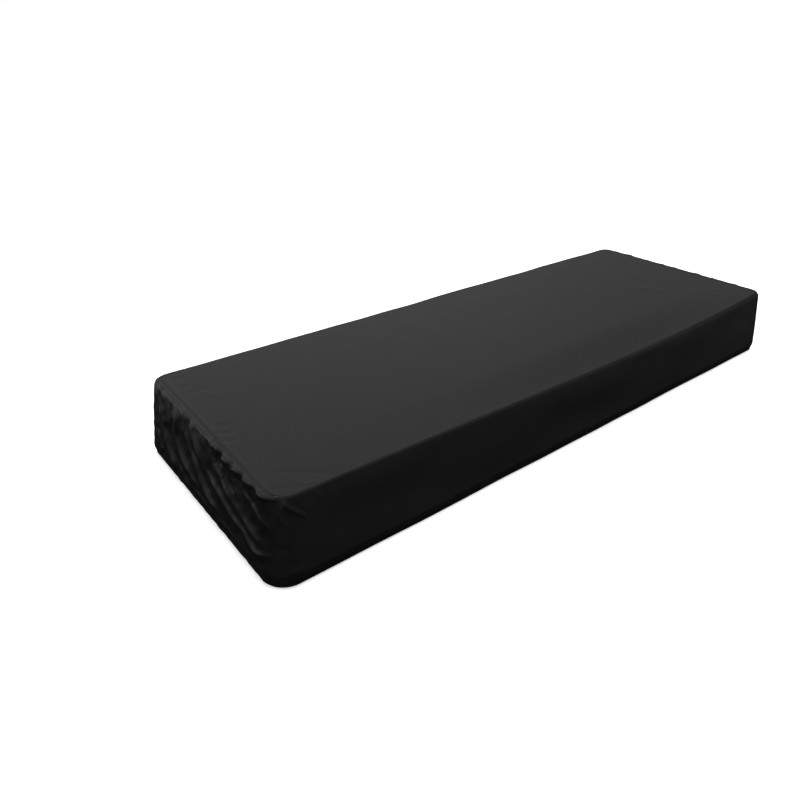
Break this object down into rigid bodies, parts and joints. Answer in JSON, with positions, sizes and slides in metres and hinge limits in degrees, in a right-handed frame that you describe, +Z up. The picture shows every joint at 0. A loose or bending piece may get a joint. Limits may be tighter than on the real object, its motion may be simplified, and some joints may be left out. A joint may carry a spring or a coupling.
{
  "type": "fitted piano cover",
  "caption": "Hollow black cloth dust cover for a digital piano, with a flat top, straight sides that flare to the hem and slanting folds on one end.",
  "frame": {"origin": "the middle of the top's underside, where the piano's top carries the cloth", "axes": "+X along the cover to its right end as seen from the front, +Y to the back, +Z up"},
  "size_m": [1.3866, 0.494, 0.1485],
  "materials": {
    "black_cloth": "smooth, faintly shiny black polyester"
  },
  "bodies": {
    "root": {"main_panel": "black_cloth", "left_end": "black_cloth", "right_end": "black_cloth"}
  },
  "joints": []
}
